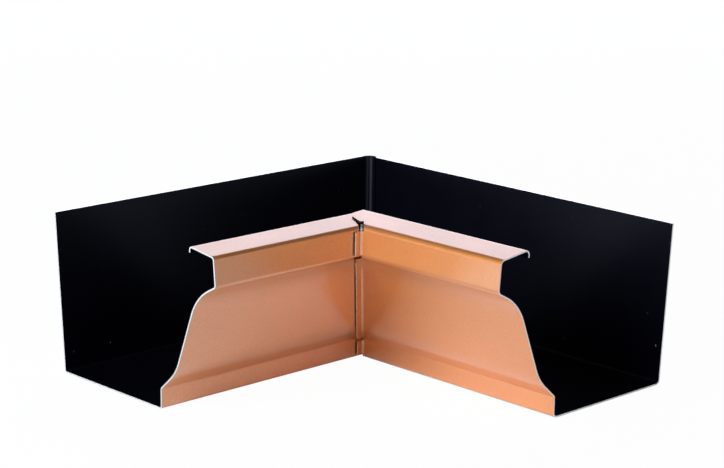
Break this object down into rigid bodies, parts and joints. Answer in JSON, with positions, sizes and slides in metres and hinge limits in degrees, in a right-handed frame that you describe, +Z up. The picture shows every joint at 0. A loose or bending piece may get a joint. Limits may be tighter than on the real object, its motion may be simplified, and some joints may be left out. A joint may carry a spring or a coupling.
{
  "type": "internal gutter corner",
  "caption": "Inside mitre corner for an open roof gutter with an ogee front, folded from coated sheet metal and lapped along its mitred seam.",
  "frame": {"origin": "foot of the back corner, where the outermost back planes and the underside meet", "axes": "+Z up; +X along the left run and +Y along the right run, from the corner to the open ends; the moulded front faces +X and +Y"},
  "size_m": [0.2362, 0.2362, 0.0937],
  "materials": {
    "coated_sheet": "satin copper-coloured coat outside, black coat inside, bare cut edges"
  },
  "bodies": {
    "root": {"left_run": "coated_sheet", "right_run": "coated_sheet"}
  },
  "joints": []
}
